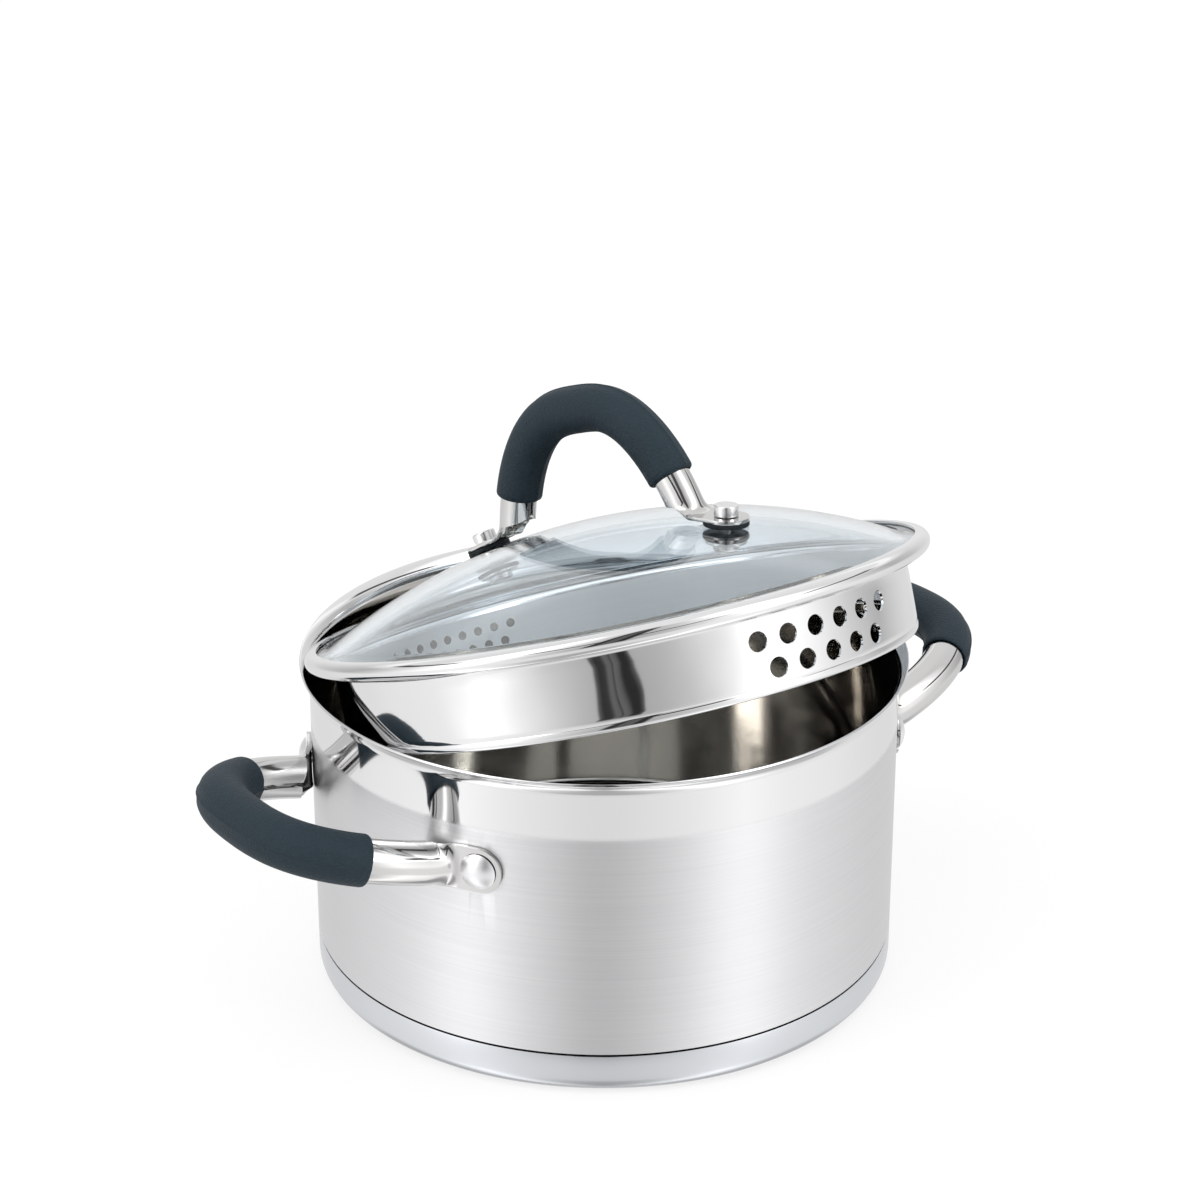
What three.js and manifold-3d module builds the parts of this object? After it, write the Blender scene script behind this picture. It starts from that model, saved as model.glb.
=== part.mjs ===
// Casserole pot with a straining glass lid that lies askew in its mouth.
// Millimetres, +Z up. The origin is the middle of the base on the worktop, X runs through the
// two side handles and -Y is the front, where the lid is raised.

import * as THREE from 'three';
import { mergeVertices } from 'three/addons/utils/BufferGeometryUtils.js';
import Module from 'manifold-3d';

const wasm = await Module();
wasm.setup();

const { clamp, degToRad, lerp, smoothstep } = THREE.MathUtils;
const quarter = Math.PI / 2;

// Fits and facets
const fitGap = 0.3;
const restGap = 0.5;
const roundSides = 40;
const smallSides = 10;

// Pot body: one drawn sheet with a flared pouring lip
const wallRadius = 100.3;
const potHeight = 114;
const potSheet = 0.8;
const lipCurve = 6.4;
const lipAngle = degToRad(62);
const floorCorner = 6.6;

// Base: an aluminium core closed in by a steel cap, with a groove above the cap's edge
const coreThickness = 5.5;
const coreEdgeAngle = degToRad(45);
const capSheet = 0.7;
const capCorner = 5;
const capOverlap = 0.4;
const grooveHeight = 0.9;

// Side handles: loops of rolled strap that rise away from the wall
const sideHandleDrop = 35.5;
const sideStrapSheet = 1.4;
const sideTubeHeight = 14.5;
const sideHalfSpan = 38;
const sideReach = 51;
const sideArchPower = 2.5;
const sideRise = degToRad(16.4);
const sideRiseBlend = 8;
const sideBend = 4;
const sideRollLength = 10;
const sideSeam = degToRad(12);
const sideEarBorder = 1.6;
const sideLegBare = 21;
const rightGripSlide = 10.5;
const leftGripSlide = 2.3;
const sideGripWall = 0.95;
const sideGripBevel = 1.2;

// Rivets of the side handles
const rivetShank = 2.9;
const rivetHeadBorder = 3.4;
const rivetHeadOverlap = 0.5;
const rivetHeadHeight = 2.5;
const rivetTailBorder = 2.5;
const rivetTailHeight = 1.4;

// Lid band: a bead rolled round the glass, a flange for the lip and a straining skirt
const bandSheet = 0.8;
const beadOverhang = 3.4;
const beadCover = 1.4;
const skirtPlay = 1.8;
const skirtDepth = 25.6;
const skirtCorner = 2;
const hemGap = 0.7;
const hemHeight = 2.4;

// Straining holes: two rows of large holes at the front and two of small ones opposite them
const strainerTurn = degToRad(7.3);
const coarseHoleRadius = 3.3;
const coarsePitch = degToRad(6.55);
const coarseUpperDepth = 8.3;
const coarseLowerDepth = 17.7;
const coarseUpperCount = 6;
const fineHoleRadius = 1.7;
const finePitch = degToRad(4.05);
const fineUpperDepth = 7.6;
const fineLowerDepth = 13.7;
const fineUpperCount = 9;

// Lid glass
const glassThickness = 4;
const glassRim = 5;
const domeHeight = 30;

// Lid handle: a smaller arch of the same rolled strap, seated on the dome
const lidHandleTurn = degToRad(15);
const lidStrapSheet = 1.2;
const lidTubeHeight = 12.5;
const lidHalfSpan = 38.4;
const lidReach = 37.6;
const lidArchPower = 2.75;
const lidSplay = degToRad(16.5);
const lidBend = 3.5;
const lidRollLength = 7;
const lidSeam = degToRad(16);
const lidLegBare = 7;
const lidGripWall = 1.35;
const lidGripBevel = 1.1;

// Fasteners of the lid handle, from the barrel nut on top to the screw head inside
const screwShank = 2;
const screwHeadBorder = 2.2;
const screwHeadHeight = 2.4;
const nutWall = 1.8;
const nutBoreDepth = 2.4;
const nutCap = 1.1;
const nutCrown = 0.6;
const nutMargin = 3.1;
const gasketBorder = 5.3;
const upperGasketThickness = 1.6;
const lowerGasketThickness = 1.2;
const washerBorder = 4.5;
const washerThickness = 1;

// How the lid lies: raised at the front and pushed towards that side
const lidTilt = degToRad(19.7);
const lidShift = 8;

// Facets of the bent and rolled shapes
const cornerSteps = 3;
const bendSteps = 2;
const hemSteps = 3;
const domeSteps = 5;
const stripPoints = 8;
const gripSides = 12;
const gripSteps = 12;
const coarseHoleSides = 8;
const fineHoleSides = 6;

// Materials
function polishedSteel() {
  return new THREE.MeshStandardMaterial({ color: 0xd4d5d6, roughness: 0.12, metalness: 1 });
}

function brushedSteel() {
  return new THREE.MeshStandardMaterial({ color: 0xc8c8c9, roughness: 0.34, metalness: 1 });
}

function aluminium() {
  return new THREE.MeshStandardMaterial({ color: 0xb9bcc0, roughness: 0.5, metalness: 1 });
}

function silicone() {
  return new THREE.MeshStandardMaterial({ color: 0x333c42, roughness: 0.62, metalness: 0 });
}

function temperedGlass() {
  return new THREE.MeshStandardMaterial({
    color: 0xd9e8ea, roughness: 0.03, metalness: 0, transparent: true, opacity: 0.3,
  });
}

// Body helpers
function signedVolume(geometry) {
  const position = geometry.attributes.position;
  const index = geometry.index.array;
  const corners = [new THREE.Vector3(), new THREE.Vector3(), new THREE.Vector3()];
  let volume = 0;
  for (let i = 0; i < index.length; i += 3) {
    corners.forEach((corner, k) => corner.fromBufferAttribute(position, index[i + k]));
    volume += corners[0].dot(corners[1].cross(corners[2])) / 6;
  }
  return volume;
}

// Welds a surface into one closed body that faces out
function closedBody(surface) {
  surface.deleteAttribute('normal');
  surface.deleteAttribute('uv');
  const body = mergeVertices(surface, 1e-4);
  const index = body.index.array;
  const kept = [];
  for (let i = 0; i < index.length; i += 3) {
    const [a, b, c] = index.slice(i, i + 3);
    if (a !== b && b !== c && c !== a) kept.push(a, b, c);
  }
  body.setIndex(kept);
  if (signedVolume(body) < 0) body.setIndex(kept.reverse());
  return body;
}

function meshFrom(vertices, triangles) {
  const geometry = new THREE.BufferGeometry();
  const numbers = vertices.flatMap((vertex) => vertex.toArray());
  geometry.setAttribute('position', new THREE.Float32BufferAttribute(numbers, 3));
  geometry.setIndex(triangles);
  return closedBody(geometry);
}

function toManifold(body) {
  return new wasm.Manifold(new wasm.Mesh({
    numProp: 3,
    vertProperties: new Float32Array(body.attributes.position.array),
    triVerts: new Uint32Array(body.index.array),
  }));
}

function cutAway(body, cutters) {
  const result = cutters.reduce((solid, cutter) => solid.subtract(toManifold(cutter)), toManifold(body));
  const mesh = result.getMesh();
  const geometry = new THREE.BufferGeometry();
  geometry.setAttribute('position', new THREE.Float32BufferAttribute(mesh.vertProperties, 3));
  geometry.setIndex([...mesh.triVerts]);
  return geometry;
}

function addPiece(parent, name, geometry, material) {
  geometry.computeVertexNormals();
  const mesh = new THREE.Mesh(geometry, material);
  mesh.name = name;
  parent.add(mesh);
}

// Profile helpers, in the plane of radius and height
function point(radius, height) {
  return new THREE.Vector2(radius, height);
}

function arc(centre, radius, from, to, steps) {
  return Array.from({ length: steps + 1 }, (_, i) => {
    const angle = lerp(from, to, i / steps);
    return point(centre.x + radius * Math.cos(angle), centre.y + radius * Math.sin(angle));
  });
}

// Both faces of a bent sheet, from its middle line
function sheetProfile(line, sheet) {
  const faces = line.map((here, i) => {
    const into = here.clone().sub(line[Math.max(i - 1, 0)]).normalize();
    const out = line[Math.min(i + 1, line.length - 1)].clone().sub(here).normalize();
    const along = here.x > 0 ? into.clone().add(out).normalize() : point(1, 0);
    const stretch = sheet / 2 / along.dot(i > 0 ? into : out);
    const normal = point(-along.y, along.x).multiplyScalar(stretch);
    return [here.clone().sub(normal), here.clone().add(normal)];
  });
  const loop = [...faces.map((face) => face[0]), ...faces.map((face) => face[1]).reverse()];
  if (line[0].x > 0) loop.push(loop[0].clone());
  return loop;
}

function turned(profile, sides) {
  return closedBody(new THREE.LatheGeometry(profile, sides).rotateX(quarter));
}

// A drill of the given radius along Z, between two heights
function drill(radius, from, to, sides) {
  const cylinder = new THREE.CylinderGeometry(radius, radius, to - from, sides);
  return closedBody(cylinder.rotateX(quarter).translate(0, 0, (from + to) / 2));
}

// How far a flat disc drops into the round hollow that it covers
function hollowDepth(hollowRadius, discRadius) {
  const facetDepth = hollowRadius * (1 - Math.cos(Math.PI / roundSides));
  return hollowRadius - Math.sqrt(hollowRadius ** 2 - discRadius ** 2) + facetDepth;
}

// Sizes that follow from the fits
const handleHeight = potHeight - sideHandleDrop;
const rivetHead = rivetShank + rivetHeadBorder;
const rivetTail = rivetShank + rivetTailBorder;
const screwHole = screwShank + fitGap;
const screwHead = screwShank + screwHeadBorder;
const nutRadius = screwHole + nutWall;
const gasketRadius = screwHole + gasketBorder;
const washerRadius = screwHole + washerBorder;

// Pot body
const wallMiddle = wallRadius - potSheet / 2;
const wallInside = wallRadius - potSheet;
const neckMiddle = wallRadius - capSheet - fitGap - potSheet / 2;
const floorMiddle = capSheet + coreThickness + 2 * fitGap + potSheet / 2;
const floorCornerCentre = point(neckMiddle - floorCorner, floorMiddle + floorCorner);
const capTop = floorCornerCentre.y + capOverlap;
const lipStart = potHeight - (lipCurve + potSheet / 2) * Math.sin(lipAngle);
const shellLine = [
  point(0, floorMiddle),
  ...arc(floorCornerCentre, floorCorner, -quarter, 0, cornerSteps),
  point(neckMiddle, capTop),
  point(wallMiddle, capTop + grooveHeight),
  ...arc(point(wallMiddle + lipCurve, lipStart), lipCurve, Math.PI, Math.PI - lipAngle, cornerSteps),
];

// Base
const capMiddle = wallRadius - capSheet / 2;
const capCornerCentre = point(capMiddle - capCorner, capSheet / 2 + capCorner);

function baseCap() {
  const line = [
    point(0, capSheet / 2),
    ...arc(capCornerCentre, capCorner, -quarter, 0, cornerSteps),
    point(capMiddle, capTop),
  ];
  return turned(sheetProfile(line, capSheet), roundSides);
}

function baseCore() {
  const clearance = capSheet / 2 + fitGap;
  const hollow = floorCorner + potSheet / 2 + fitGap;
  const shoulder = arc(floorCornerCentre, hollow, coreEdgeAngle - quarter, -quarter, bendSteps);
  const profile = [
    point(0, capSheet + fitGap),
    ...arc(capCornerCentre, capCorner - clearance, -quarter, 0, cornerSteps),
    point(capMiddle - clearance, shoulder[0].y),
    ...shoulder,
    point(0, floorMiddle - potSheet / 2 - fitGap),
  ];
  return turned(profile, roundSides);
}

// The upper quarter of a rounded arch, from its leg to the middle of its top
class ArchCurve extends THREE.Curve {
  constructor(leg, halfSpan, reach, power, splay) {
    super();
    Object.assign(this, { leg, halfSpan, reach, exponent: 2 / power, lean: Math.tan(splay) });
  }

  getPoint(t) {
    const angle = t * quarter;
    const out = this.reach * Math.sin(angle) ** this.exponent;
    const across = Math.abs(Math.cos(angle)) ** this.exponent;
    return new THREE.Vector2(this.leg + out, across * (this.halfSpan - this.lean * out));
  }
}

// A strap of sheet that lies on a round seat as an ear, bends away from it, rolls up into a
// tube with its seam inside the loop, and comes back to a second ear. X points away from the
// middle of the seat, and Y runs across the loop.
class Strap {
  constructor(size, seatRadius) {
    Object.assign(this, size);
    this.tubeMiddle = size.tubeHeight - size.sheet;
    const seatMiddle = seatRadius + fitGap + size.sheet / 2;
    const spineSpan = size.halfSpan + this.tubeMiddle / 2;
    const bendAcross = spineSpan + size.bend * Math.cos(size.splay);
    const bendOut = Math.sqrt((seatMiddle + size.bend) ** 2 - bendAcross ** 2);
    const bendAngle = Math.atan2(bendAcross, bendOut);
    const legAngle = 3 * quarter - size.splay;
    this.leg = bendOut - size.bend * Math.sin(size.splay);
    this.fastenerAngle = bendAngle + size.setback / seatMiddle;
    const earEnd = this.fastenerAngle + size.earRadius / seatMiddle;
    const ear = new THREE.ArcCurve(0, 0, seatMiddle, earEnd, bendAngle, true);
    const bend = new THREE.ArcCurve(bendOut, bendAcross, size.bend, bendAngle + Math.PI, legAngle);
    const spineReach = size.reach + this.tubeMiddle / 2;
    const arch = new ArchCurve(this.leg, spineSpan, spineReach, size.power, size.splay);
    this.plan = new THREE.CurvePath();
    [ear, bend, arch].forEach((curve) => this.plan.add(curve));
    this.bendStart = ear.getLength();
    this.bendEnd = this.bendStart + bend.getLength();
    this.rollEnd = this.bendEnd + size.rollLength;
    this.halfRolled = this.bendEnd + size.rollLength / 2;
    this.half = this.plan.getLength();
    this.gripStart = this.rollEnd + size.firstLegBare;
    this.gripEnd = 2 * this.half - this.rollEnd - size.secondLegBare;
  }

  // How far the loop stands out from its legs' feet, and where that is in space
  spine(distance) {
    const fromEnd = Math.min(distance, 2 * this.half - distance);
    const plan = this.plan.getPoint(clamp(fromEnd / this.half, 0, 1));
    const out = Math.max(plan.x - this.leg, 0);
    const climb = out < this.riseBlend ? out ** 2 / (2 * this.riseBlend) : out - this.riseBlend / 2;
    const across = distance > this.half ? -plan.y : plan.y;
    const forward = plan.x - out + out * Math.cos(this.rise);
    return { out, place: new THREE.Vector3(forward, across, climb * Math.sin(this.rise)) };
  }

  frame(distance) {
    const step = 0.2;
    const { out, place } = this.spine(distance);
    const before = this.spine(Math.max(distance - step, 0)).place;
    const after = this.spine(Math.min(distance + step, 2 * this.half)).place;
    const along = after.sub(before).normalize();
    const lean = this.rise * smoothstep(out, 0, this.riseBlend);
    const upright = new THREE.Vector3(-Math.sin(lean), 0, Math.cos(lean));
    const outward = upright.clone().cross(along).normalize();
    return { place, outward, upright: along.clone().cross(outward) };
  }

  // Distances along the strap at which its shape is drawn
  distances() {
    const ear = [0.03, 0.15, 0.45, 1].map((share) => share * this.earRadius);
    const bend = [0, 0.5, 1].map((share) => lerp(this.bendStart, this.bendEnd, share));
    const roll = [0.25, 0.5, 1].map((share) => lerp(this.bendEnd, this.rollEnd, share));
    const leg = [...ear, ...bend, ...roll];
    const otherLeg = leg.map((distance) => 2 * this.half - distance).reverse();
    return [...leg, ...this.gripDistances(), ...otherLeg];
  }

  gripDistances() {
    return Array.from({ length: gripSteps + 1 }, (_, i) => {
      return lerp(this.gripStart, this.gripEnd, i / gripSteps);
    });
  }

  // The two faces of the sheet across the strap at one place
  section(distance) {
    const flatWrap = 0.05;
    const fromEnd = Math.min(distance, 2 * this.half - distance);
    const halfway = smoothstep(fromEnd, this.bendStart, this.halfRolled);
    const closing = clamp((fromEnd - this.halfRolled) / (this.rollEnd - this.halfRolled), 0, 1);
    const flatHeight = lerp(2 * this.earRadius, this.tubeMiddle, halfway);
    const inset = Math.max(this.earRadius - fromEnd, 0) / this.earRadius;
    const height = flatHeight * Math.sqrt(1 - inset ** 2);
    const wrap = lerp(flatWrap, Math.PI, halfway) + closing * (Math.PI - this.seam);
    const radius = height / (2 * Math.sin(Math.min(wrap, Math.PI) / 2));
    const { place, outward, upright } = this.frame(distance);
    const face = (offset) => Array.from({ length: stripPoints }, (_, k) => {
      const angle = wrap * (k / (stripPoints - 1) - 0.5);
      return place.clone()
        .addScaledVector(outward, (radius + offset) * Math.cos(angle) - radius)
        .addScaledVector(upright, (radius + offset) * Math.sin(angle));
    });
    return { outer: face(this.sheet / 2), inner: face(-this.sheet / 2) };
  }

  body() {
    const sections = this.distances().map((distance) => this.section(distance));
    const ring = 2 * stripPoints;
    const vertices = sections.flatMap(({ outer, inner }) => [...outer, ...inner.reverse()]);
    const triangles = [];
    const quad = (a, b, c, d) => triangles.push(a, b, c, a, c, d);
    for (let i = 0; i + 1 < sections.length; i += 1) {
      for (let k = 0; k < ring; k += 1) {
        const next = (k + 1) % ring;
        quad(i * ring + k, i * ring + next, (i + 1) * ring + next, (i + 1) * ring + k);
      }
    }
    const last = (sections.length - 1) * ring;
    for (let k = 0; k + 1 < stripPoints; k += 1) {
      const facing = ring - 1 - k;
      quad(k, facing, facing - 1, k + 1);
      quad(last + k, last + k + 1, last + facing - 1, last + facing);
    }
    return meshFrom(vertices, triangles);
  }

  // A sleeve round the tube, with bevelled ends
  grip() {
    const sides = gripSides;
    const around = (distance, radius) => {
      const { place, outward, upright } = this.frame(distance);
      const centre = place.addScaledVector(outward, -this.tubeMiddle / 2);
      return Array.from({ length: sides }, (_, k) => {
        const angle = (2 * Math.PI * k) / sides;
        return centre.clone()
          .addScaledVector(outward, radius * Math.cos(angle))
          .addScaledVector(upright, radius * Math.sin(angle));
      });
    };
    const stations = this.gripDistances();
    const start = stations[0];
    const end = stations[stations.length - 1];
    const bore = (this.tubeHeight / 2 + fitGap) / Math.cos(Math.PI / sides);
    const outside = this.tubeHeight / 2 + fitGap + this.gripWall;
    const straight = [start + this.gripBevel, ...stations.slice(1, -1), end - this.gripBevel];
    const rings = [
      around(start, (bore + outside) / 2),
      ...straight.map((distance) => around(distance, outside)),
      around(end, (bore + outside) / 2),
      ...stations.reverse().map((distance) => around(distance, bore)),
    ];
    const triangles = [];
    rings.forEach((_, i) => {
      const here = i * sides;
      const there = ((i + 1) % rings.length) * sides;
      for (let k = 0; k < sides; k += 1) {
        const next = (k + 1) % sides;
        triangles.push(here + k, here + next, there + next, here + k, there + next, there + k);
      }
    });
    return meshFrom(rings.flat(), triangles);
  }
}

// Side handles, whose sleeves sit a little off the middle of their loops
function sideStrap(gripSlide) {
  return new Strap({
    sheet: sideStrapSheet,
    tubeHeight: sideTubeHeight,
    halfSpan: sideHalfSpan,
    reach: sideReach,
    power: sideArchPower,
    splay: 0,
    rise: sideRise,
    riseBlend: sideRiseBlend,
    bend: sideBend,
    setback: rivetHead - rivetHeadOverlap,
    earRadius: rivetHead + sideEarBorder,
    rollLength: sideRollLength,
    seam: sideSeam,
    firstLegBare: sideLegBare - gripSlide,
    secondLegBare: sideLegBare + gripSlide,
    gripWall: sideGripWall,
    gripBevel: sideGripBevel,
  }, wallRadius);
}

const rightStrap = sideStrap(rightGripSlide);
const leftStrap = sideStrap(leftGripSlide);
const rivetAngle = rightStrap.fastenerAngle;

function potShell() {
  const reach = [wallInside - rivetTail, wallRadius + rivetTail];
  const turns = [rivetAngle, -rivetAngle, Math.PI + rivetAngle, Math.PI - rivetAngle];
  const holes = turns.map((turn) => {
    const hole = drill(rivetShank + fitGap, ...reach, smallSides).rotateY(quarter);
    return hole.rotateZ(turn).translate(0, 0, handleHeight);
  });
  return cutAway(turned(sheetProfile(shellLine, potSheet), roundSides), holes);
}

function sideStrapBody(strap) {
  const holes = [-1, 1].map((turn) => {
    const reach = [wallRadius - sideStrapSheet, wallRadius + 3 * sideStrapSheet];
    const hole = drill(rivetShank + fitGap, ...reach, smallSides);
    return hole.rotateY(quarter).rotateZ(turn * rivetAngle);
  });
  return cutAway(strap.body(), holes);
}

// A rivet along X: a flat tail inside the wall and a domed head on the ear
function rivet() {
  const tailFace = wallInside - hollowDepth(wallInside, rivetTail) - fitGap;
  const headFace = wallRadius + sideStrapSheet + 2 * fitGap;
  const domeRadius = (rivetHead ** 2 + rivetHeadHeight ** 2) / (2 * rivetHeadHeight);
  const domeCentre = point(0, headFace + rivetHeadHeight - domeRadius);
  const edge = Math.asin((domeRadius - rivetHeadHeight) / domeRadius);
  const dome = arc(domeCentre, domeRadius, edge, quarter, cornerSteps);
  dome[dome.length - 1].x = 0;
  const profile = [
    point(0, tailFace - rivetTailHeight),
    point(rivetTail - rivetTailHeight / 2, tailFace - rivetTailHeight),
    point(rivetTail, tailFace - rivetTailHeight / 2),
    point(rivetTail, tailFace),
    point(rivetShank, tailFace),
    point(rivetShank, headFace),
    ...dome,
  ];
  return turned(profile, smallSides).rotateY(quarter);
}

function sideHandleGroup(side, strap, turn) {
  const group = new THREE.Group();
  group.position.z = handleHeight;
  group.rotation.z = turn;
  addPiece(group, `${side}_handle_strap`, sideStrapBody(strap), polishedSteel());
  addPiece(group, `${side}_handle_grip`, strap.grip(), silicone());
  for (const across of [-1, 1]) {
    const end = across * Math.cos(turn) < 0 ? 'front' : 'rear';
    const body = rivet().rotateZ(across * rivetAngle);
    addPiece(group, `${side}_handle_${end}_rivet`, body, polishedSteel());
  }
  return group;
}

// Lid band, with the underside of its bead at height 0
const beadRadius = wallMiddle + lipCurve * (1 - Math.cos(lipAngle)) + beadOverhang;
const beadHeight = 2 * bandSheet + glassThickness + 2 * fitGap;
const beadCurve = (beadHeight - bandSheet) / 2;
const beadCentre = point(beadRadius - bandSheet / 2 - beadCurve, beadHeight / 2);
const skirtRadius = wallInside - skirtPlay;
const skirtMiddle = skirtRadius - bandSheet / 2;
const hemRadius = (bandSheet + hemGap) / 2;
const hemCentre = point(skirtMiddle - hemRadius, bandSheet / 2 + hemRadius - skirtDepth);
const skirtCornerCentre = point(skirtMiddle + skirtCorner, bandSheet / 2 - skirtCorner);
const bandLine = [
  point(beadCentre.x - beadCover, beadHeight - bandSheet / 2),
  ...arc(beadCentre, beadCurve, quarter, -quarter, hemSteps),
  ...arc(skirtCornerCentre, skirtCorner, quarter, Math.PI, bendSteps),
  ...arc(hemCentre, hemRadius, 0, -Math.PI, hemSteps),
  point(hemCentre.x - hemRadius, hemCentre.y + hemHeight),
];

// One row of drills through the skirt, spaced evenly about a direction
function strainerRow(radius, sides, pitch, count, depth, direction) {
  return Array.from({ length: count }, (_, i) => {
    const angle = direction + pitch * (i - (count - 1) / 2);
    const hole = drill(radius, skirtRadius - 3 * radius, skirtRadius + 3 * radius, sides);
    return hole.rotateY(quarter).rotateZ(angle).translate(0, 0, -depth);
  });
}

function lidBand() {
  const front = strainerTurn - quarter;
  const back = front + Math.PI;
  const coarse = [coarseHoleRadius, coarseHoleSides, coarsePitch];
  const fine = [fineHoleRadius, fineHoleSides, finePitch];
  const holes = [
    ...strainerRow(...coarse, coarseUpperCount, coarseUpperDepth, front),
    ...strainerRow(...coarse, coarseUpperCount - 1, coarseLowerDepth, front),
    ...strainerRow(...fine, fineUpperCount, fineUpperDepth, back),
    ...strainerRow(...fine, fineUpperCount - 1, fineLowerDepth, back),
  ];
  return cutAway(turned(sheetProfile(bandLine, bandSheet), roundSides), holes);
}

// Lid glass: a flat rim held in the bead and a dome
const glassRadius = beadCentre.x;
const glassTop = bandSheet + fitGap + glassThickness;
const domeEdge = glassRadius - glassRim;
const domeRise = domeHeight - glassTop;
const domeRadius = (domeEdge ** 2 + domeRise ** 2) / (2 * domeRise);
const domeCentre = domeHeight - domeRadius;

// Lid handle and its fasteners, stacked along the dome's normal
const earFace = domeRadius + fitGap + upperGasketThickness;
const nutFace = earFace + lidStrapSheet + 2 * fitGap;
const nutHeight = nutBoreDepth + nutCap;
const hollowFace = domeRadius - glassThickness;
const lowerGasketFace = hollowFace - hollowDepth(hollowFace, gasketRadius) - fitGap;
const washerFace = lowerGasketFace - lowerGasketThickness - fitGap;
const screwFace = washerFace - washerThickness - fitGap;
const lidStrap = new Strap({
  sheet: lidStrapSheet,
  tubeHeight: lidTubeHeight,
  halfSpan: lidHalfSpan,
  reach: lidReach,
  power: lidArchPower,
  splay: lidSplay,
  rise: 0,
  riseBlend: lidBend,
  bend: lidBend,
  setback: nutRadius + nutMargin,
  earRadius: gasketRadius,
  rollLength: lidRollLength,
  seam: lidSeam,
  firstLegBare: lidLegBare,
  secondLegBare: lidLegBare,
  gripWall: lidGripWall,
  gripBevel: lidGripBevel,
}, earFace);

// Places a body built along Z from the dome's middle at one of the handle's two fasteners
function atFastener(body, across) {
  body.rotateY(across * lidStrap.fastenerAngle).translate(0, 0, domeCentre);
  return body.rotateZ(lidHandleTurn - quarter);
}

function lidGlass() {
  const middle = domeRadius - glassThickness / 2;
  const edge = Math.asin(domeEdge / domeRadius);
  const dome = arc(point(0, domeCentre), middle, quarter, quarter - edge, domeSteps);
  dome[0].x = 0;
  const line = [...dome, point(glassRadius, glassTop - glassThickness / 2)];
  const holes = [-1, 1].map((across) => {
    const reach = [domeRadius - 2 * glassThickness, domeRadius + glassThickness];
    return atFastener(drill(screwHole + fitGap, ...reach, smallSides), across);
  });
  return cutAway(turned(sheetProfile(line, glassThickness), roundSides), holes);
}

function lidStrapBody() {
  const holes = [-1, 1].map((across) => {
    const reach = [earFace - lidStrapSheet, nutFace + lidStrapSheet];
    const hole = drill(screwHole, ...reach, smallSides);
    return hole.rotateY(quarter).rotateZ(across * lidStrap.fastenerAngle);
  });
  return cutAway(lidStrap.body(), holes);
}

// Turns a body built on the strap's axes so that it stands up on the dome
function onDome(body) {
  const axes = [new THREE.Vector3(0, 0, 1), new THREE.Vector3(1, 0, 0), new THREE.Vector3(0, 1, 0)];
  body.applyMatrix4(new THREE.Matrix4().makeBasis(...axes));
  return body.translate(0, 0, domeCentre).rotateZ(lidHandleTurn - quarter);
}

// A flat ring for the screw to pass through, between two heights
function ringBody(radius, from, to) {
  const corners = [point(screwHole, from), point(radius, from), point(radius, to), point(screwHole, to)];
  return turned([...corners, corners[0].clone()], smallSides);
}

function barrelNut() {
  const profile = [
    point(0, nutFace + nutBoreDepth),
    point(screwHole, nutFace + nutBoreDepth),
    point(screwHole, nutFace),
    point(nutRadius, nutFace),
    point(nutRadius, nutFace + nutHeight - nutCrown),
    point(nutRadius - nutCrown, nutFace + nutHeight),
    point(0, nutFace + nutHeight),
  ];
  return turned(profile, smallSides);
}

function lidScrew() {
  const profile = [
    point(0, screwFace - screwHeadHeight),
    point(screwHead - screwHeadHeight / 2, screwFace - screwHeadHeight),
    point(screwHead, screwFace - screwHeadHeight / 2),
    point(screwHead, screwFace),
    point(screwShank, screwFace),
    point(screwShank, nutFace + nutBoreDepth - fitGap),
    point(0, nutFace + nutBoreDepth - fitGap),
  ];
  return turned(profile, smallSides);
}

function addLidFastener(group, end, across) {
  const upperGasket = ringBody(gasketRadius, domeRadius + fitGap, earFace);
  const lowerGasket = ringBody(gasketRadius, lowerGasketFace - lowerGasketThickness, lowerGasketFace);
  const washer = ringBody(washerRadius, washerFace - washerThickness, washerFace);
  addPiece(group, `lid_${end}_barrel_nut`, atFastener(barrelNut(), across), polishedSteel());
  addPiece(group, `lid_${end}_upper_gasket`, atFastener(upperGasket, across), silicone());
  addPiece(group, `lid_${end}_lower_gasket`, atFastener(lowerGasket, across), silicone());
  addPiece(group, `lid_${end}_washer`, atFastener(washer, across), polishedSteel());
  addPiece(group, `lid_${end}_screw`, atFastener(lidScrew(), across), polishedSteel());
}

// The middle line of a bent sheet with points close enough to measure from
function closePoints(line, spacing) {
  return line.slice(1).flatMap((end, i) => {
    const steps = Math.ceil(end.distanceTo(line[i]) / spacing);
    return Array.from({ length: steps }, (_, k) => line[i].clone().lerp(end, (k + 1) / steps));
  });
}

// The least clear gap between the tilted lid's band and the pot's wall and lip
function lidGap(height) {
  const spacing = 2;
  const turns = 90;
  const cos = Math.cos(lidTilt);
  const sin = Math.sin(lidTilt);
  let least = Infinity;
  for (const from of closePoints(bandLine, spacing)) {
    for (let i = 0; i < turns; i += 1) {
      const angle = (2 * Math.PI * i) / turns;
      const forward = from.x * Math.sin(angle);
      const x = from.x * Math.cos(angle);
      const y = forward * cos + from.y * sin - lidShift;
      const z = from.y * cos - forward * sin + height;
      const place = point(Math.hypot(x, y), z);
      for (let k = 1; k < shellLine.length; k += 1) {
        const segment = shellLine[k].clone().sub(shellLine[k - 1]);
        const offset = place.clone().sub(shellLine[k - 1]);
        const share = clamp(offset.dot(segment) / segment.lengthSq(), 0, 1);
        least = Math.min(least, offset.addScaledVector(segment, -share).length());
      }
    }
  }
  return least - (potSheet + bandSheet) / 2;
}

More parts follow.
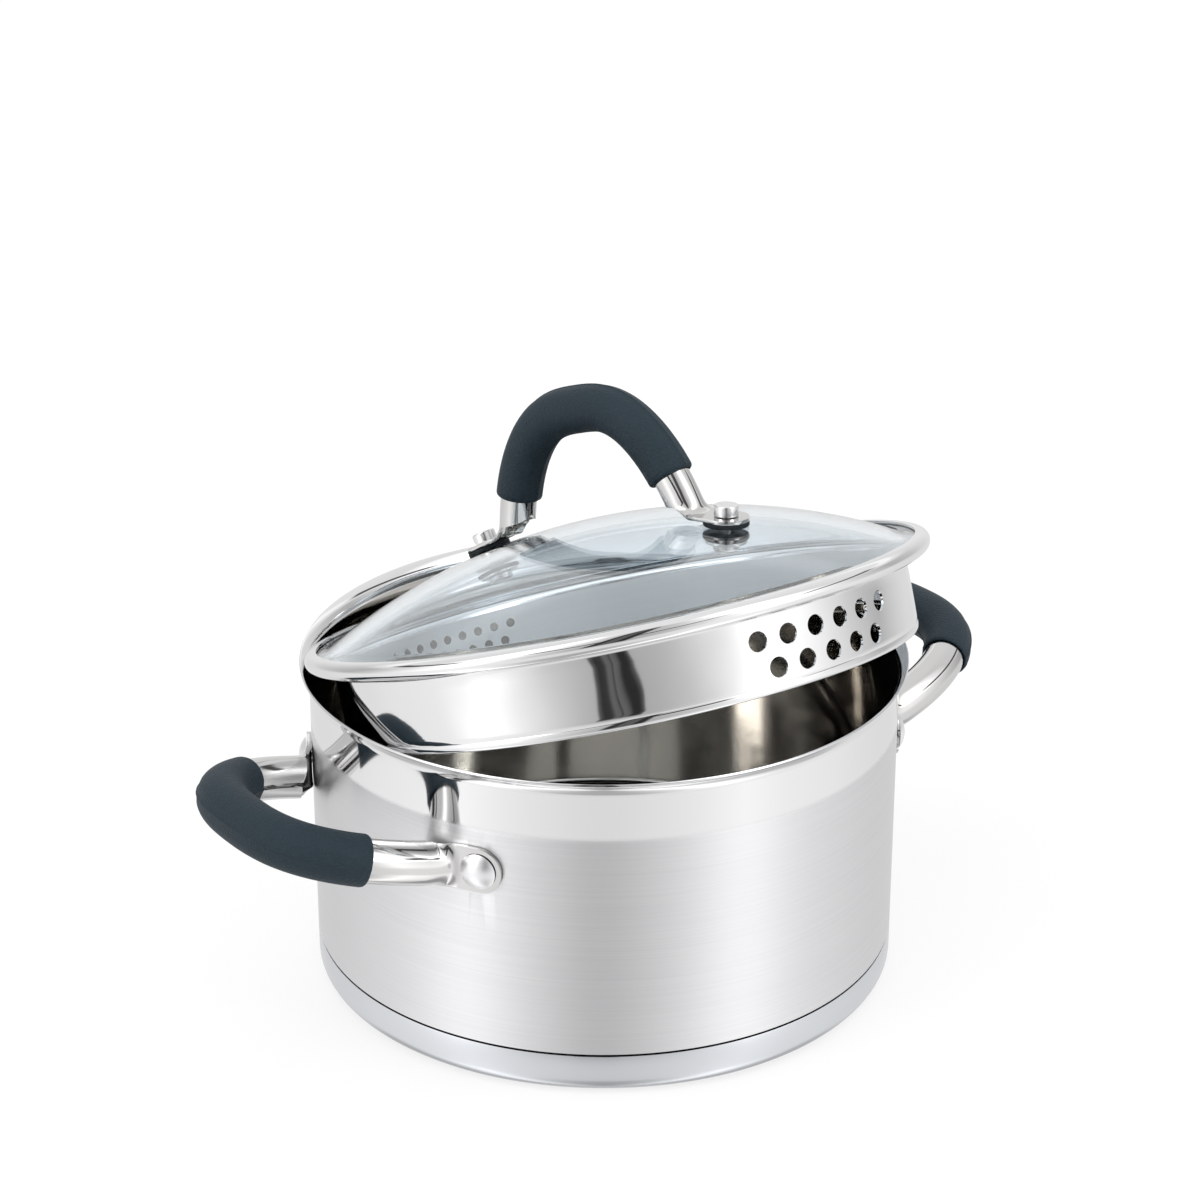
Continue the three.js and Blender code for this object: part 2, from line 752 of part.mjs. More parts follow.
// Lowers the tilted lid from above until it meets the lip
function restingHeight() {
  let clear = potHeight + skirtDepth + beadRadius * Math.sin(lidTilt);
  const finest = 0.01;
  let step = 1;
  while (step > finest && clear > floorMiddle) {
    if (lidGap(clear - step) > restGap) clear -= step;
    else step /= 2;
  }
  return clear;
}

// Assembly
const casserole = new THREE.Group();
addPiece(casserole, 'pot_shell', potShell(), brushedSteel());
addPiece(casserole, 'base_core', baseCore(), aluminium());
addPiece(casserole, 'base_cap', baseCap(), brushedSteel());
casserole.add(sideHandleGroup('right', rightStrap, 0));
casserole.add(sideHandleGroup('left', leftStrap, Math.PI));

const lid = new THREE.Group();
lid.position.set(0, -lidShift, restingHeight());
lid.rotation.x = -lidTilt;
addPiece(lid, 'lid_band', lidBand(), polishedSteel());
addPiece(lid, 'lid_glass', lidGlass(), temperedGlass());
addPiece(lid, 'lid_handle_strap', onDome(lidStrapBody()), polishedSteel());
addPiece(lid, 'lid_handle_grip', onDome(lidStrap.grip()), silicone());
addLidFastener(lid, 'front', 1);
addLidFastener(lid, 'rear', -1);
casserole.add(lid);

export default casserole;
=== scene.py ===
from math import asin, atan2, cos, hypot, pi, radians, sin, sqrt, tan
import bmesh
import bpy
from mathutils import Matrix, Vector


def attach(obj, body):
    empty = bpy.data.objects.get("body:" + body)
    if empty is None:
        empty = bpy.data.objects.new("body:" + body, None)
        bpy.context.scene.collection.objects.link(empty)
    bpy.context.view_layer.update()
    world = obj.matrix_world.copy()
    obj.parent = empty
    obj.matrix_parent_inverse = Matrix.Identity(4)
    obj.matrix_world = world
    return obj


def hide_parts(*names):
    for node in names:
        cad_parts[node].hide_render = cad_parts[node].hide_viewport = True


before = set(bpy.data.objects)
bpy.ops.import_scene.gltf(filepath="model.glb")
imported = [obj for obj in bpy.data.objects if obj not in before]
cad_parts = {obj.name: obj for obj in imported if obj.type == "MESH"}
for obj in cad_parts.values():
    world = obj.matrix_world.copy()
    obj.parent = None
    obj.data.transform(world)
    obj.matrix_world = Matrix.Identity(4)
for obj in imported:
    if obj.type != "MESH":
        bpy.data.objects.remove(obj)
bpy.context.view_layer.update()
scene = bpy.context.scene
mm = 0.001
print("frame loaded:", len(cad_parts), "nodes")


# Shader maths

class Wire:
    def __init__(self, shop, socket):
        self.shop = shop
        self.socket = socket

    def maths(self, operation, *others):
        values = dict(enumerate((self, *others)))
        return self.shop.node("Math", {"operation": operation}, values)

    def __add__(self, other):
        return self.maths("ADD", other)

    def __mul__(self, other):
        return self.maths("MULTIPLY", other)

    def __sub__(self, other):
        return self.maths("SUBTRACT", other)

    def __rsub__(self, other):
        return self.shop.node("Math", {"operation": "SUBTRACT"}, {0: other, 1: self})

    def __truediv__(self, other):
        return self.maths("DIVIDE", other)

    def __gt__(self, other):
        return self.maths("GREATER_THAN", other)

    def __lt__(self, other):
        return self.maths("LESS_THAN", other)

    __radd__ = __add__
    __rmul__ = __mul__


class Shop:
    def __init__(self, tree):
        self.tree = tree
        tree.nodes.clear()

    def node(self, kind, settings=None, values=None, out=0):
        made = self.tree.nodes.new("ShaderNode" + kind)
        for name, value in (settings or {}).items():
            if name == "stops":
                self.setStops(made.color_ramp, value)
            else:
                setattr(made, name, value)
        for name, value in (values or {}).items():
            if isinstance(value, Wire):
                self.tree.links.new(value.socket, made.inputs[name])
            else:
                made.inputs[name].default_value = value
        return Wire(self, made.outputs[out]) if made.outputs else made

    def setStops(self, ramp, stops):
        while len(ramp.elements) < len(stops):
            ramp.elements.new(1)
        for element, (position, level) in zip(ramp.elements, stops):
            element.position = position
            element.color = (level, level, level, 1)

    def outputs(self, wire, names):
        return [Wire(self, wire.socket.node.outputs[name]) for name in names]

    def split(self, vector):
        return self.outputs(self.node("SeparateXYZ", None, {0: vector}), "XYZ")

    def smooth(self, value, limits):
        values = {"Value": value, "From Min": limits[0], "From Max": limits[1]}
        return self.node("MapRange", {"interpolation_type": "SMOOTHSTEP"}, values)

    def blend(self, share, first, second):
        values = {"Factor": share, 6: first, 7: second}
        return self.node("Mix", {"data_type": "RGBA"}, values, 2)

    def noise(self, vector, scale, detail=2.0, roughness=0.5):
        values = {"Vector": vector, "Scale": scale, "Detail": detail, "Roughness": roughness}
        return self.node("TexNoise", None, values)

    # Noise that is stretched by its own scale along each axis
    def streaks(self, vector, scales, detail=2.0, roughness=0.5):
        stretched = self.node("Mapping", None, {"Vector": vector, "Scale": scales})
        return self.noise(stretched, 1.0, detail, roughness)

    def bump(self, height, strength, distance, under=None):
        values = {"Height": height, "Strength": strength, "Distance": distance}
        if under is not None:
            values["Normal"] = under
        return self.node("Bump", None, values)


def startMaterial(name, place=None):
    material = bpy.data.materials.new(name)
    material.use_nodes = True
    shop = Shop(material.node_tree)
    coords = shop.node("TexCoord", None, None, "Object")
    if place is not None:
        where = {"Vector": coords, "Location": place.to_translation(), "Rotation": place.to_euler()}
        coords = shop.node("Mapping", {"vector_type": "TEXTURE"}, where)
    return material, shop, coords


def surface(shop, values):
    shader = shop.node("BsdfPrincipled", None, values)
    shop.node("OutputMaterial", None, {"Surface": shader})


def shaded(tone, level):
    return tuple(level * part for part in tone) + (1,)


# Mesh helpers, all in millimetres until a piece is finished
weld = 1e-3
outward = Matrix.Rotation(pi / 2, 4, "Y")


def arcPoints(centre, radius, start, end, steps):
    turns = [radians(start + (end - start) * i / steps) for i in range(steps + 1)]
    return [(centre[0] + radius * cos(a), centre[1] + radius * sin(a)) for a in turns]


def spinProfile(points, steps, closed=False):
    bm = bmesh.new()
    verts = [bm.verts.new((r, 0, z)) for r, z in points]
    edges = [bm.edges.new(pair) for pair in zip(verts, verts[1:])]
    if closed:
        edges.append(bm.edges.new((verts[-1], verts[0])))
    bmesh.ops.spin(bm, geom=verts + edges, cent=(0, 0, 0), axis=(0, 0, 1),
                   angle=2 * pi, steps=steps, use_merge=True)
    tidyMesh(bm)
    return bm


def tidyMesh(bm):
    bmesh.ops.remove_doubles(bm, verts=bm.verts, dist=weld)
    bmesh.ops.recalc_face_normals(bm, faces=bm.faces)


def makeObject(bm, name, place=None):
    if place is not None:
        bmesh.ops.transform(bm, matrix=place, verts=bm.verts)
    bmesh.ops.scale(bm, vec=(mm, mm, mm), verts=bm.verts)
    mesh = bpy.data.meshes.new(name)
    bm.to_mesh(mesh)
    bm.free()
    piece = bpy.data.objects.new(name, mesh)
    scene.collection.objects.link(piece)
    return piece


def applyModifiers(piece):
    bpy.context.view_layer.update()
    evaluated = piece.evaluated_get(bpy.context.evaluated_depsgraph_get())
    mesh = bpy.data.meshes.new_from_object(evaluated)
    piece.modifiers.clear()
    piece.data = mesh


def thicken(piece, sheet):
    solid = piece.modifiers.new("sheet", "SOLIDIFY")
    solid.thickness = sheet * mm
    solid.offset = 0
    solid.use_even_offset = True


def roundEdges(piece, width, angle):
    bevel = piece.modifiers.new("edges", "BEVEL")
    bevel.width = width * mm
    bevel.segments = 2
    bevel.limit_method = "ANGLE"
    bevel.angle_limit = radians(angle)


def drill(radius, length, place, sides=24):
    return {"radius": radius, "length": length, "place": place, "sides": sides}


def cutHoles(piece, drills):
    cutter = bmesh.new()
    for size in drills:
        made = bmesh.ops.create_cone(cutter, cap_ends=True, segments=size["sides"],
                                     radius1=size["radius"], radius2=size["radius"],
                                     depth=size["length"])
        bmesh.ops.transform(cutter, matrix=size["place"], verts=made["verts"])
    tool = makeObject(cutter, "drills")
    cut = piece.modifiers.new("holes", "BOOLEAN")
    cut.object = tool
    cut.operation = "DIFFERENCE"
    cut.solver = "EXACT"
    applyModifiers(piece)
    bpy.data.objects.remove(tool)


def hang(piece, body, slot, materials, *nodes, sharp=32):
    mesh = piece.data
    mesh.materials.clear()
    for material in materials:
        mesh.materials.append(material)
    for face in mesh.polygons:
        face.use_smooth = True
    mesh.set_sharp_from_angle(angle=radians(sharp))
    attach(piece, body)
    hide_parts(*nodes)


# Where the lid lies: raised at the front and shifted towards it
lidLie = {"tilt": 19.7, "shift": 8.0, "height": 132.535}
lidPlace = (Matrix.Translation((0, -lidLie["shift"], lidLie["height"]))
            @ Matrix.Rotation(radians(-lidLie["tilt"]), 4, "X"))
lidPlaceMetres = Matrix.Translation(lidPlace.to_translation() * mm) @ lidPlace.to_3x3().to_4x4()


# Finishes. Noise scales are per metre and bump heights in metres.
# The heights where steel darkens with painted shade near the floor, or turns polished, are in
# millimetres.
steelLook = {"tone": (0.78, 0.78, 0.785), "satin": 0.34, "mirror": 0.06,
             "brushed": ((0.645, 0.645, 0.655), (0.785, 0.785, 0.795))}
brushLook = {"along": 9, "across": 1500, "clouds": (14, 14, 90), "cloudShare": 0.2,
             "roughSpan": 0.06, "polishBlend": 1.2, "paintedShadeFrom": 0.4, "paintedShadeLevel": 0.78,
             "anisotropy": 0.85, "turn": 0.25, "strength": 0.06, "height": 0.0002}


def brushedSteel(name, place=None, rings=False, satin=steelLook["satin"],
                 tones=steelLook["brushed"], polishFrom=None, paintedShadeTo=None):
    look = brushLook
    material, shop, coords = startMaterial(name, place)
    x, y, z = shop.split(coords)
    across = (x * x + y * y).maths("SQRT") if rings else z
    grid = {0: x * look["along"], 1: y * look["along"], 2: across * look["across"]}
    fine = shop.noise(shop.node("CombineXYZ", None, grid), 1.0, 3.0, 0.65)
    clouds = shop.streaks(coords, look["clouds"])
    share = fine * (1 - look["cloudShare"]) + clouds * look["cloudShare"]
    tone = shop.blend(share, tones[0] + (1,), tones[1] + (1,))
    rough = satin - look["roughSpan"] / 2 + fine * look["roughSpan"]
    # Painted shade: the tone darkens towards the floor, standing in for the shade where the base
    # meets the ground.
    if paintedShadeTo is not None:
        unshaded = shop.smooth(z, (look["paintedShadeFrom"] * mm, paintedShadeTo * mm))
        tone = shop.blend(unshaded, shaded(tones[0], look["paintedShadeLevel"]), tone)
    if polishFrom is not None:
        limits = [(polishFrom + side * look["polishBlend"]) * mm for side in (-1, 1)]
        polish = shop.smooth(z, limits)
        tone = shop.blend(polish, tone, steelLook["tone"] + (1,))
        rough = rough * (1 - polish) + polish * steelLook["mirror"]
        fine = fine * (1 - polish)
    surface(shop, {
        "Base Color": tone, "Metallic": 1.0, "Roughness": rough,
        "Anisotropic": look["anisotropy"], "Anisotropic Rotation": look["turn"],
        "Normal": shop.bump(fine, look["strength"], look["height"]),
    })
    return material


polishLook = {"lines": (20, 20, 1200), "smudges": 45.0, "waves": 42.0, "shade": 0.95,
              "strength": 0.03, "height": 0.0002}


def polishedSteel(name, place=None, mirror=steelLook["mirror"], tone=steelLook["tone"], wave=0.0):
    look = polishLook
    material, shop, coords = startMaterial(name, place)
    lines = shop.streaks(coords, look["lines"], 2.0, 0.6)
    smudge = shop.noise(coords, look["smudges"], 3.0, 0.6)
    ripple = shop.bump(shop.noise(coords, look["waves"], 1.0), 1.0, wave * mm) if wave else None
    height = lines * 0.4 + smudge * 0.6
    surface(shop, {
        "Base Color": shop.blend(smudge, shaded(tone, look["shade"]), tone + (1,)),
        "Metallic": 1.0, "Roughness": mirror - 0.02 + smudge * 0.035 + lines * 0.015,
        "Normal": shop.bump(height, look["strength"], look["height"], ripple),
    })
    return material


# The inside steel's tones are darker than the outer steel: painted shade of the pot's interior.
insideLook = {"lines": (12, 12, 700), "patches": 25.0, "waves": 34.0, "waveHeight": 0.0003,
              "tones": ((0.56, 0.54, 0.51, 1), (0.62, 0.60, 0.57, 1)),
              "corner": (0.17, 0.16, 0.15, 1), "cornerShadeReach": (0.088, 0.095),
              "cornerShadeTop": (0.0135, 0.0175), "strength": 0.03, "height": 0.0002}


def insideSteel(look):
    material, shop, coords = startMaterial("insideSteel")
    lines = shop.streaks(coords, look["lines"], 3.0, 0.6)
    patches = shop.noise(coords, look["patches"], 3.0, 0.55)
    x, y, z = shop.split(coords)
    radius = (x * x + y * y).maths("SQRT")
    # Painted shade: a near-black ring with the corner tone where the inside wall meets the floor,
    # standing in for the shade of the inner corner.
    corner = shop.smooth(radius, look["cornerShadeReach"]) * (1 - shop.smooth(z, look["cornerShadeTop"]))
    tone = shop.blend(corner, shop.blend(patches, *look["tones"]), look["corner"])
    ripple = shop.bump(shop.noise(coords, look["waves"], 1.0), 1.0, look["waveHeight"])
    surface(shop, {
        "Base Color": tone, "Metallic": 1.0,
        "Roughness": 0.05 + patches * 0.03 + lines * 0.03,
        "Normal": shop.bump(lines, look["strength"], look["height"], ripple),
    })
    return material


grooveLook = {"shadeMottle": 300.0, "tones": ((0.003, 0.003, 0.003, 1), (0.010, 0.010, 0.010, 1))}


# Painted shade: a near-black finish for the groove under the wall, standing in for the shade in the
# recess, mottled at random.
def paintedGrooveShade(look):
    material, shop, coords = startMaterial("paintedGrooveShade")
    shadeMottle = shop.noise(coords, look["shadeMottle"], 3.0)
    surface(shop, {
        "Base Color": shop.blend(shadeMottle, *look["tones"]),
        "Roughness": 0.8 + shadeMottle * 0.2, "Specular IOR Level": 0.1,
    })
    return material


siliconeLook = {"grain": 1150.0, "clouds": 60.0, "low": 0.75, "high": 1.28, "shine": 0.26,
                "strength": 0.6, "height": 0.0008}


def slateSilicone(name, tone):
    look = siliconeLook
    material, shop, coords = startMaterial(name)
    grain = shop.noise(coords, look["grain"], 2.0, 0.6)
    clouds = shop.noise(coords, look["clouds"], 3.0, 0.5)
    ends = shaded(tone, look["low"]), shaded(tone, look["high"])
    surface(shop, {
        "Base Color": shop.blend(clouds * 0.6 + grain * 0.4, *ends),
        "Roughness": 0.50 + clouds * 0.08 + grain * 0.10, "Specular IOR Level": look["shine"],
        "Normal": shop.bump(grain, look["strength"], look["height"]),
    })
    return material


glassLook = {"smears": (18, 30, 18), "bend": 1.5, "shadow": (0.93, 0.972, 0.99, 1),
             "tones": ((0.865, 0.928, 0.968, 1), (0.885, 0.942, 0.978, 1))}


def temperedGlass(look):
    material, shop, coords = startMaterial("temperedGlass")
    smear = shop.streaks(coords, look["smears"], 4.0, 0.6)
    glass = shop.node("BsdfPrincipled", None, {
        "Base Color": shop.blend(smear, *look["tones"]),
        "Transmission Weight": 1.0, "IOR": look["bend"], "Roughness": 0.0,
    })
    clear = shop.node("BsdfTransparent", None, {"Color": look["shadow"]})
    shadow = shop.node("LightPath", None, None, "Is Shadow Ray")
    mixed = shop.node("MixShader", None, {0: shadow, 1: glass, 2: clear})
    shop.node("OutputMaterial", None, {"Surface": mixed})
    return material


castLook = {"grain": 400.0, "tones": ((0.62, 0.63, 0.64, 1), (0.78, 0.79, 0.80, 1)),
            "strength": 0.2, "height": 0.0002}


def castAluminium(look):
    material, shop, coords = startMaterial("castAluminium")
    grain = shop.noise(coords, look["grain"], 4.0, 0.6)
    surface(shop, {
        "Base Color": shop.blend(grain, *look["tones"]), "Metallic": 1.0,
        "Roughness": 0.45 + grain * 0.2,
        "Normal": shop.bump(grain, look["strength"], look["height"]),
    })
    return material


wallSteel = brushedSteel("wallSteel", polishFrom=93.0)
# The base cap darkens towards the floor with painted shade (paintedShadeTo).
baseSteel = brushedSteel("baseSteel", rings=True, satin=0.18, paintedShadeTo=5.0,
                         tones=((0.57, 0.585, 0.61), (0.71, 0.725, 0.755)))
lipSteel = polishedSteel("lipSteel")
innerSteel = insideSteel(insideLook)
grooveShadeFinish = paintedGrooveShade(grooveLook)
# The straps' tone is darker than the lip's steel: painted shade standing in for their darker
# reflections.
strapSteel = polishedSteel("strapSteel", tone=(0.63, 0.625, 0.62))
rivetSteel = polishedSteel("rivetSteel", mirror=0.34, tone=(0.90, 0.90, 0.91))
bandSteel = polishedSteel("bandSteel", lidPlaceMetres, mirror=0.05, wave=0.35)
# The skirt's inside is brushed steel; its near-white tones are painted light, brighter than the
# band's own steel.
bandInside = brushedSteel("bandInside", lidPlaceMetres, satin=0.58,
                          tones=((0.86, 0.87, 0.88), (0.98, 0.99, 1.0)))
nutSteel = polishedSteel("nutSteel", lidPlaceMetres, mirror=0.2)
gripSilicone = slateSilicone("gripSilicone", (0.0125, 0.0250, 0.0350))
gasketSilicone = slateSilicone("gasketSilicone", (0.010, 0.014, 0.017))
glassFinish = temperedGlass(glassLook)
print("finishes ready")


# Pot body and base
potBody = {"wall": 100.3, "height": 114.0, "sheet": 0.8, "lipCurve": 6.4, "lipAngle": 62.0,
           "floor": 7.2, "floorRing": 45, "corner": 6.6, "neck": 98.9, "capTop": 14.2,
           "groove": 0.9, "shoulderIn": 0.3, "shoulderDown": 0.35, "wallRings": (55, 93),
           "edge": 0.22, "steps": 192}
baseCap = {"sheet": 0.7, "corner": 5.0, "ring": 50, "edge": 0.2}


def buildPot(size):
    middle = size["wall"] - size["sheet"] / 2
    lipDrop = (size["lipCurve"] + size["sheet"] / 2) * sin(radians(size["lipAngle"]))
    lipStart = size["height"] - lipDrop
    cornerCentre = (size["neck"] - size["corner"], size["floor"] + size["corner"])
    lipCentre = (middle + size["lipCurve"], lipStart)
    shoulder = size["capTop"] + size["groove"]
    line = [(0, size["floor"]), (size["floorRing"], size["floor"])]
    line += arcPoints(cornerCentre, size["corner"], -90, 0, 8)
    line += [(size["neck"], size["capTop"])]
    line += [(middle - size["shoulderIn"], shoulder - size["shoulderDown"]), (middle, shoulder)]
    line += [(middle, high) for high in size["wallRings"]]
    line += arcPoints(lipCentre, size["lipCurve"], 180, 180 - size["lipAngle"], 12)
    pot = makeObject(spinProfile(line, size["steps"]), "potBody")
    thicken(pot, size["sheet"])
    on = Matrix.Translation((size["wall"], 0, sideHandle["height"]))
    turns = [a * rivetTurn + half for half in (0, pi) for a in (-1, 1)]
    spots = [Matrix.Rotation(turn, 4, "Z") @ on @ outward for turn in turns]
    cutHoles(pot, [drill(rivet["hole"], 24, spot) for spot in spots])
    roundEdges(pot, size["edge"], 60)
    applyModifiers(pot)
    finishes = [wallSteel, lipSteel, innerSteel, grooveShadeFinish]
    hang(pot, "pot", "brushed_steel", finishes, "pot_shell")
    paintPot(pot, middle - 0.05, lipStart - 0.5, shoulder, 90)


# Gives the lip and the inside their own finishes, and the groove its near-black painted shade
def paintPot(pot, inside, lipStart, shoulder, floorEdge):
    lip, inner, groove = 1, 2, 3
    for face in pot.data.polygons:
        reach = hypot(face.center.x, face.center.y) / mm
        high = face.center.z / mm
        slope = face.normal.z
        if high > lipStart:
            face.material_index = lip
        elif reach < inside and high > shoulder or high < shoulder and slope > 0.01:
            face.material_index = inner
        elif high < shoulder - 0.02 and (reach > inside or slope < 0.2 and reach > floorEdge):
            face.material_index = groove


def buildBase(size, pot):
    middle = pot["wall"] - size["sheet"] / 2
    centre = (middle - size["corner"], size["sheet"] / 2 + size["corner"])
    line = [(0, size["sheet"] / 2), (size["ring"], size["sheet"] / 2)]
    line += arcPoints(centre, size["corner"], -90, 0, 8)
    line += [(middle, pot["capTop"])]
    cap = makeObject(spinProfile(line, pot["steps"]), "baseCap")
    thicken(cap, size["sheet"])
    roundEdges(cap, size["edge"], 60)
    applyModifiers(cap)
    hang(cap, "pot", "brushed_steel", [baseSteel], "base_cap")


# Handles: a strap that lies on a round seat as an ear, bends away and rolls up into a tube
sideHandle = {"seat": 100.3, "height": 78.5, "sheet": 1.4, "tube": 14.5, "halfSpan": 38.0,
              "reach": 51.0, "power": 2.5, "splay": 0.0, "rise": 16.4, "riseBlend": 8.0,
              "bend": 4.0, "setback": 5.8, "ear": 7.9, "roll": 10.0, "seam": 12.0, "bare": 21.0,
              "gripWall": 0.95, "gripBevel": 1.2}
gripSlide = {"right": 10.5, "left": 2.3, "lid": 0.0}
lidHandle = {"seat": 209.57, "centre": -177.67, "turn": 15.0, "sheet": 1.2, "tube": 12.5,
             "halfSpan": 38.4, "reach": 37.6, "power": 2.75, "splay": 16.5, "rise": 0.0,
             "riseBlend": 3.5, "bend": 3.5, "setback": 7.2, "ear": 7.6, "roll": 7.0, "seam": 16.0,
             "bare": 7.0, "gripWall": 1.35, "gripBevel": 1.1, "hole": 2.3}
strapShape = {"points": 33, "flat": 0.05, "edge": 0.3, "earSteps": 14, "legSteps": 28,
              "rollSteps": 8, "archSteps": 60}
gripShape = {"rings": 56, "sides": 48, "ridge": 0.22, "cornerAlong": 0.35, "cornerDown": 0.18}
gap = 0.3


class Loop:
    earParts, bendParts, archParts = 200, 100, 2000
    # Points beside the mould line on both sides of a grip, gathered to draw a narrow ridge
    fans = {-2: -0.05, -1: -0.025, 0: 0.0, 1: 0.025, 2: 0.05}

    def __init__(self, size, slide):
        self.size = size
        self.middle = size["tube"] - size["sheet"]
        seat = size["seat"] + gap + size["sheet"] / 2
        span = size["halfSpan"] + self.middle / 2
        splay = radians(size["splay"])
        across = span + size["bend"] * cos(splay)
        bendOut = sqrt((seat + size["bend"]) ** 2 - across ** 2)
        bendTurn = atan2(across, bendOut)
        self.leg = bendOut - size["bend"] * sin(splay)
        self.fastener = bendTurn + size["setback"] / seat
        earEnd = self.fastener + size["ear"] / seat
        power = 2 / size["power"]
        reach = size["reach"] + self.middle / 2
        ear = [self.onCircle((0, 0), seat, earEnd, bendTurn, i / self.earParts)
               for i in range(self.earParts + 1)]
        bendLimits = bendTurn + pi, 1.5 * pi - splay
        bend = [self.onCircle((bendOut, across), size["bend"], *bendLimits, i / self.bendParts)
                for i in range(1, self.bendParts + 1)]
        arch = []
        for turn in [i * pi / (2 * self.archParts) for i in range(1, self.archParts)]:
            out = reach * sin(turn) ** power
            arch.append((self.leg + out, cos(turn) ** power * (span - tan(splay) * out)))
        self.plan = ear + bend + arch + [(self.leg + reach, 0.0)]
        self.lengths = [0.0]
        for here, there in zip(self.plan, self.plan[1:]):
            step = hypot(there[0] - here[0], there[1] - here[1])
            self.lengths.append(self.lengths[-1] + step)
        self.half = self.lengths[-1]
        self.bendStart = self.lengths[self.earParts]
        bendEnd = self.lengths[self.earParts + self.bendParts]
        self.rollEnd = bendEnd + size["roll"]
        self.halfRolled = bendEnd + size["roll"] / 2
        self.gripStart = self.rollEnd + size["bare"] - slide
        self.gripEnd = 2 * self.half - self.rollEnd - size["bare"] - slide

    def onCircle(self, centre, radius, start, end, share):
        turn = start + (end - start) * share
        return (centre[0] + radius * cos(turn), centre[1] + radius * sin(turn))

    def planAt(self, distance):
        low, high = 0, len(self.lengths) - 1
        while high - low > 1:
            mid = (low + high) // 2
            low, high = (mid, high) if self.lengths[mid] <= distance else (low, mid)
        step = self.lengths[high] - self.lengths[low]
        share = min(max((distance - self.lengths[low]) / step, 0), 1)
        here, there = self.plan[low], self.plan[high]
        return (here[0] + (there[0] - here[0]) * share, here[1] + (there[1] - here[1]) * share)

    def spine(self, distance):
        x, y = self.planAt(min(distance, 2 * self.half - distance))
        out = max(x - self.leg, 0)
        soft = self.size["riseBlend"]
        climb = out * out / (2 * soft) if out < soft else out - soft / 2
        rise = radians(self.size["rise"])
        side = -y if distance > self.half else y
        return out, Vector((x - out + out * cos(rise), side, climb * sin(rise)))

    def axes(self, distance):
        step = 0.4
        out, place = self.spine(distance)
        before = self.spine(max(distance - step, 0))[1]
        after = self.spine(min(distance + step, 2 * self.half))[1]
        along = (after - before).normalized()
        lean = radians(self.size["rise"]) * smoothShare(out, 0, self.size["riseBlend"])
        upright = Vector((-sin(lean), 0, cos(lean)))
        away = upright.cross(along).normalized()
        return place, away, along.cross(away)

    # The middle line of the sheet across the strap
    def section(self, distance):
        size = self.size
        flat = strapShape["flat"]
        count = strapShape["points"]
        fromEnd = min(distance, 2 * self.half - distance)
        halfway = smoothShare(fromEnd, self.bendStart, self.halfRolled)
        closing = (fromEnd - self.halfRolled) / (self.rollEnd - self.halfRolled)
        closing = min(max(closing, 0), 1)
        inset = max(size["ear"] - fromEnd, 0) / size["ear"]
        height = 2 * size["ear"] + (self.middle - 2 * size["ear"]) * halfway
        height *= sqrt(1 - inset ** 2)
        wrap = flat + (pi - flat) * halfway + (pi - radians(size["seam"])) * closing
        radius = height / (2 * sin(min(wrap, pi) / 2))
        place, away, upright = self.axes(distance)
        turns = [wrap * (k / (count - 1) - 0.5) for k in range(count)]
        return [place + away * (radius * cos(a) - radius) + upright * (radius * sin(a))
                for a in turns]

    def stations(self):
        size = strapShape
        ear, steps = self.size["ear"], size["earSteps"]
        leg = [ear * (1 - cos(i * pi / (2 * steps))) for i in range(steps + 1)]
        start, steps = leg[-1], size["legSteps"]
        leg += [start + (self.halfRolled - start) * i / steps for i in range(1, steps + 1)]
        roll, steps = self.rollEnd - self.halfRolled, size["rollSteps"]
        leg += [self.halfRolled + roll * i / steps for i in range(1, steps + 1)]
        arch, steps = 2 * self.half - 2 * self.rollEnd, size["archSteps"]
        middle = [self.rollEnd + arch * i / steps for i in range(1, steps)]
        return leg + middle + [2 * self.half - distance for distance in reversed(leg)]

    def ring(self, distance, radius, ridge=0.0):
        sides = gripShape["sides"]
        place, away, upright = self.axes(distance)
        centre = place - away * (self.middle / 2)
        spots = []
        for k in range(sides):
            near = (k + 3) % (sides // 2) - 3
            turn = 2 * pi * k / sides
            if near in self.fans:
                turn = pi * (k - near) / (sides // 2) + self.fans[near]
            high = radius + ridge * (abs(near) < 2)
            spots.append(centre + away * (high * cos(turn)) + upright * (high * sin(turn)))
        return spots


def smoothShare(value, low, high):
    share = min(max((value - low) / (high - low), 0), 1)
    return share * share * (3 - 2 * share)


# Draws rows of points one after the other, each extruded from the last
def extrudeRows(rows, closed):
    bm = bmesh.new()
    line = [bm.verts.new(spot) for spot in rows[0]]
    edges = [bm.edges.new(pair) for pair in zip(line, line[1:])]
    if closed:
        edges.append(bm.edges.new((line[-1], line[0])))
    for row in rows[1:]:
        made = bmesh.ops.extrude_edge_only(bm, edges=edges)["geom"]
        fresh = {item for item in made if isinstance(item, bmesh.types.BMVert)}
        edges = [item for item in made if isinstance(item, bmesh.types.BMEdge)]
        line = [next(e.other_vert(v) for e in v.link_edges if e.other_vert(v) in fresh)
                for v in line]
        edges = [e for e in edges if e.verts[0] in fresh and e.verts[1] in fresh]
        for vert, spot in zip(line, row):
            vert.co = spot
    tidyMesh(bm)
    return bm


def buildStrap(loop, name, place, holes):
    rows = [loop.section(distance) for distance in loop.stations()]
    strap = makeObject(extrudeRows(rows, False), name, place)
    thicken(strap, loop.size["sheet"])
    cutHoles(strap, holes)
    roundEdges(strap, strapShape["edge"], 55)
    applyModifiers(strap)
    return strap


